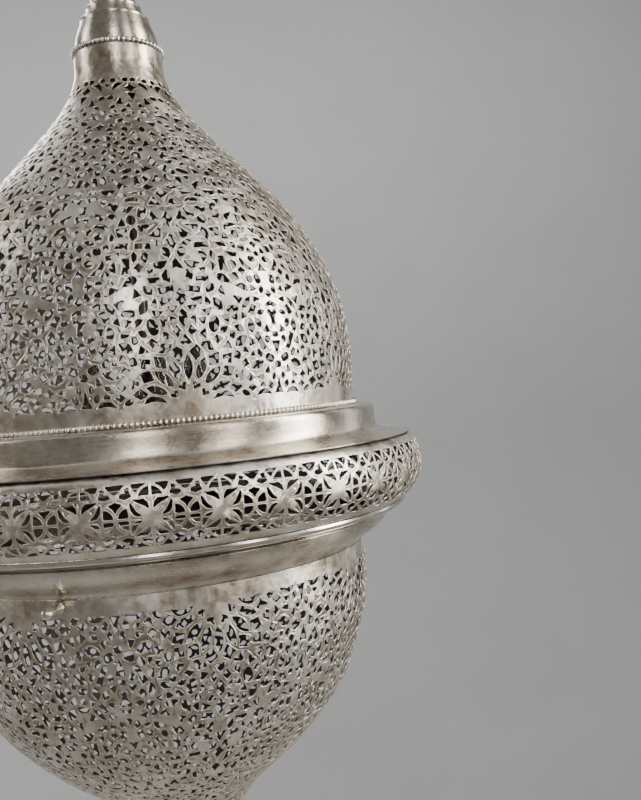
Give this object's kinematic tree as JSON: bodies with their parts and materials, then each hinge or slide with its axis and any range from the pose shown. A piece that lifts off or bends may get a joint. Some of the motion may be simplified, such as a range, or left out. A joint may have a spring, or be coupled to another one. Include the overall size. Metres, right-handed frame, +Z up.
{
  "type": "moroccan metal lantern",
  "caption": "Hanging moroccan metal lantern: pierced onion dome, wide pierced flange and a hinged pierced bowl with a turn latch.",
  "frame": {"origin": "the hang point: the inside top of the hanging ring, on the lantern's axis, where a hook bears", "axes": "+Z up along the lantern's axis, -Y towards the front with the latch, +Y towards the bowl's hinge, +X right"},
  "size_m": [0.48, 0.48, 1.105],
  "materials": {
    "sheet": "satin nickel-silver sheet, lightly brushed",
    "trim": "polished nickel-silver trim",
    "cast": "turned and cast nickel silver, satin",
    "steel": "plain steel",
    "brass": "raw turned brass",
    "porcelain": "glazed white",
    "glass": "clear bulb glass"
  },
  "bodies": {
    "hanger": {"hanging_ring": "cast"},
    "link": {"hanging_link": "cast"},
    "lantern": {"spire_cone": "sheet", "neck_cap": "sheet", "neck_sleeve": "sheet", "dome_shell": "sheet", "cove_band": "sheet", "flange_ring": "sheet", "flange_floor": "sheet", "collar": "sheet", "neck_bead_wire": "trim", "dome_bead_wire": "trim", "flange_lip": "trim", "hinge_upper_leaf": "trim", "hinge_upper_rivet_left": "trim", "hinge_upper_rivet_right": "trim", "top_eye": "cast", "spire_knop": "cast", "spider_hub": "steel", "spider_arm_0": "steel", "spider_arm_1": "steel", "spider_arm_2": "steel", "bulb_cap_0": "steel", "bulb_cap_1": "steel", "bulb_cap_2": "steel", "hinge_pin": "steel", "latch_keeper": "steel", "stem_coupling": "brass", "stem_tube": "brass", "neck_plate": "brass", "neck_nut": "brass", "spider_nut": "brass", "lamp_cluster": "brass", "lamp_arm_0": "brass", "lamp_arm_1": "brass", "lamp_arm_2": "brass", "lampholder_0": "porcelain", "lampholder_1": "porcelain", "lampholder_2": "porcelain", "bulb_glass_0": "glass", "bulb_glass_1": "glass", "bulb_glass_2": "glass"},
    "bowl": {"bowl_shell": "sheet", "bowl_foot": "sheet", "bowl_rim": "sheet", "hinge_lower_leaf": "trim", "hinge_lower_rivet_left": "trim", "hinge_lower_rivet_right": "trim", "tail_bead_wire": "trim", "tail_cap": "sheet", "tail_sleeve": "sheet", "tail_plate": "brass", "tail_nut": "brass", "finial_rod": "brass", "finial_stem": "cast", "finial_ball": "cast", "finial_drop": "cast"},
    "latch": {"latch_knob": "trim", "latch_cam": "steel", "latch_nut": "brass"}
  },
  "joints": [
    {"name": "link_swing", "type": "hinge", "parent": "hanger", "child": "link", "pos_m": [0, 0, -0.0405], "axis": [1, 0, 0], "range_deg": [-25, 25]},
    {"name": "lantern_sway", "type": "hinge", "parent": "link", "child": "lantern", "pos_m": [0, 0, -0.0677], "axis": [0, 1, 0], "range_deg": [-25, 25]},
    {"name": "bowl_hinge", "type": "hinge", "parent": "lantern", "child": "bowl", "pos_m": [0, 0.192, -0.697], "axis": [1, 0, 0], "range_deg": [0, 80]},
    {"name": "latch_turn", "type": "hinge", "parent": "bowl", "child": "latch", "pos_m": [0, -0.184, -0.7025], "axis": [0, -1, 0], "range_deg": [0, 90]}
  ]
}
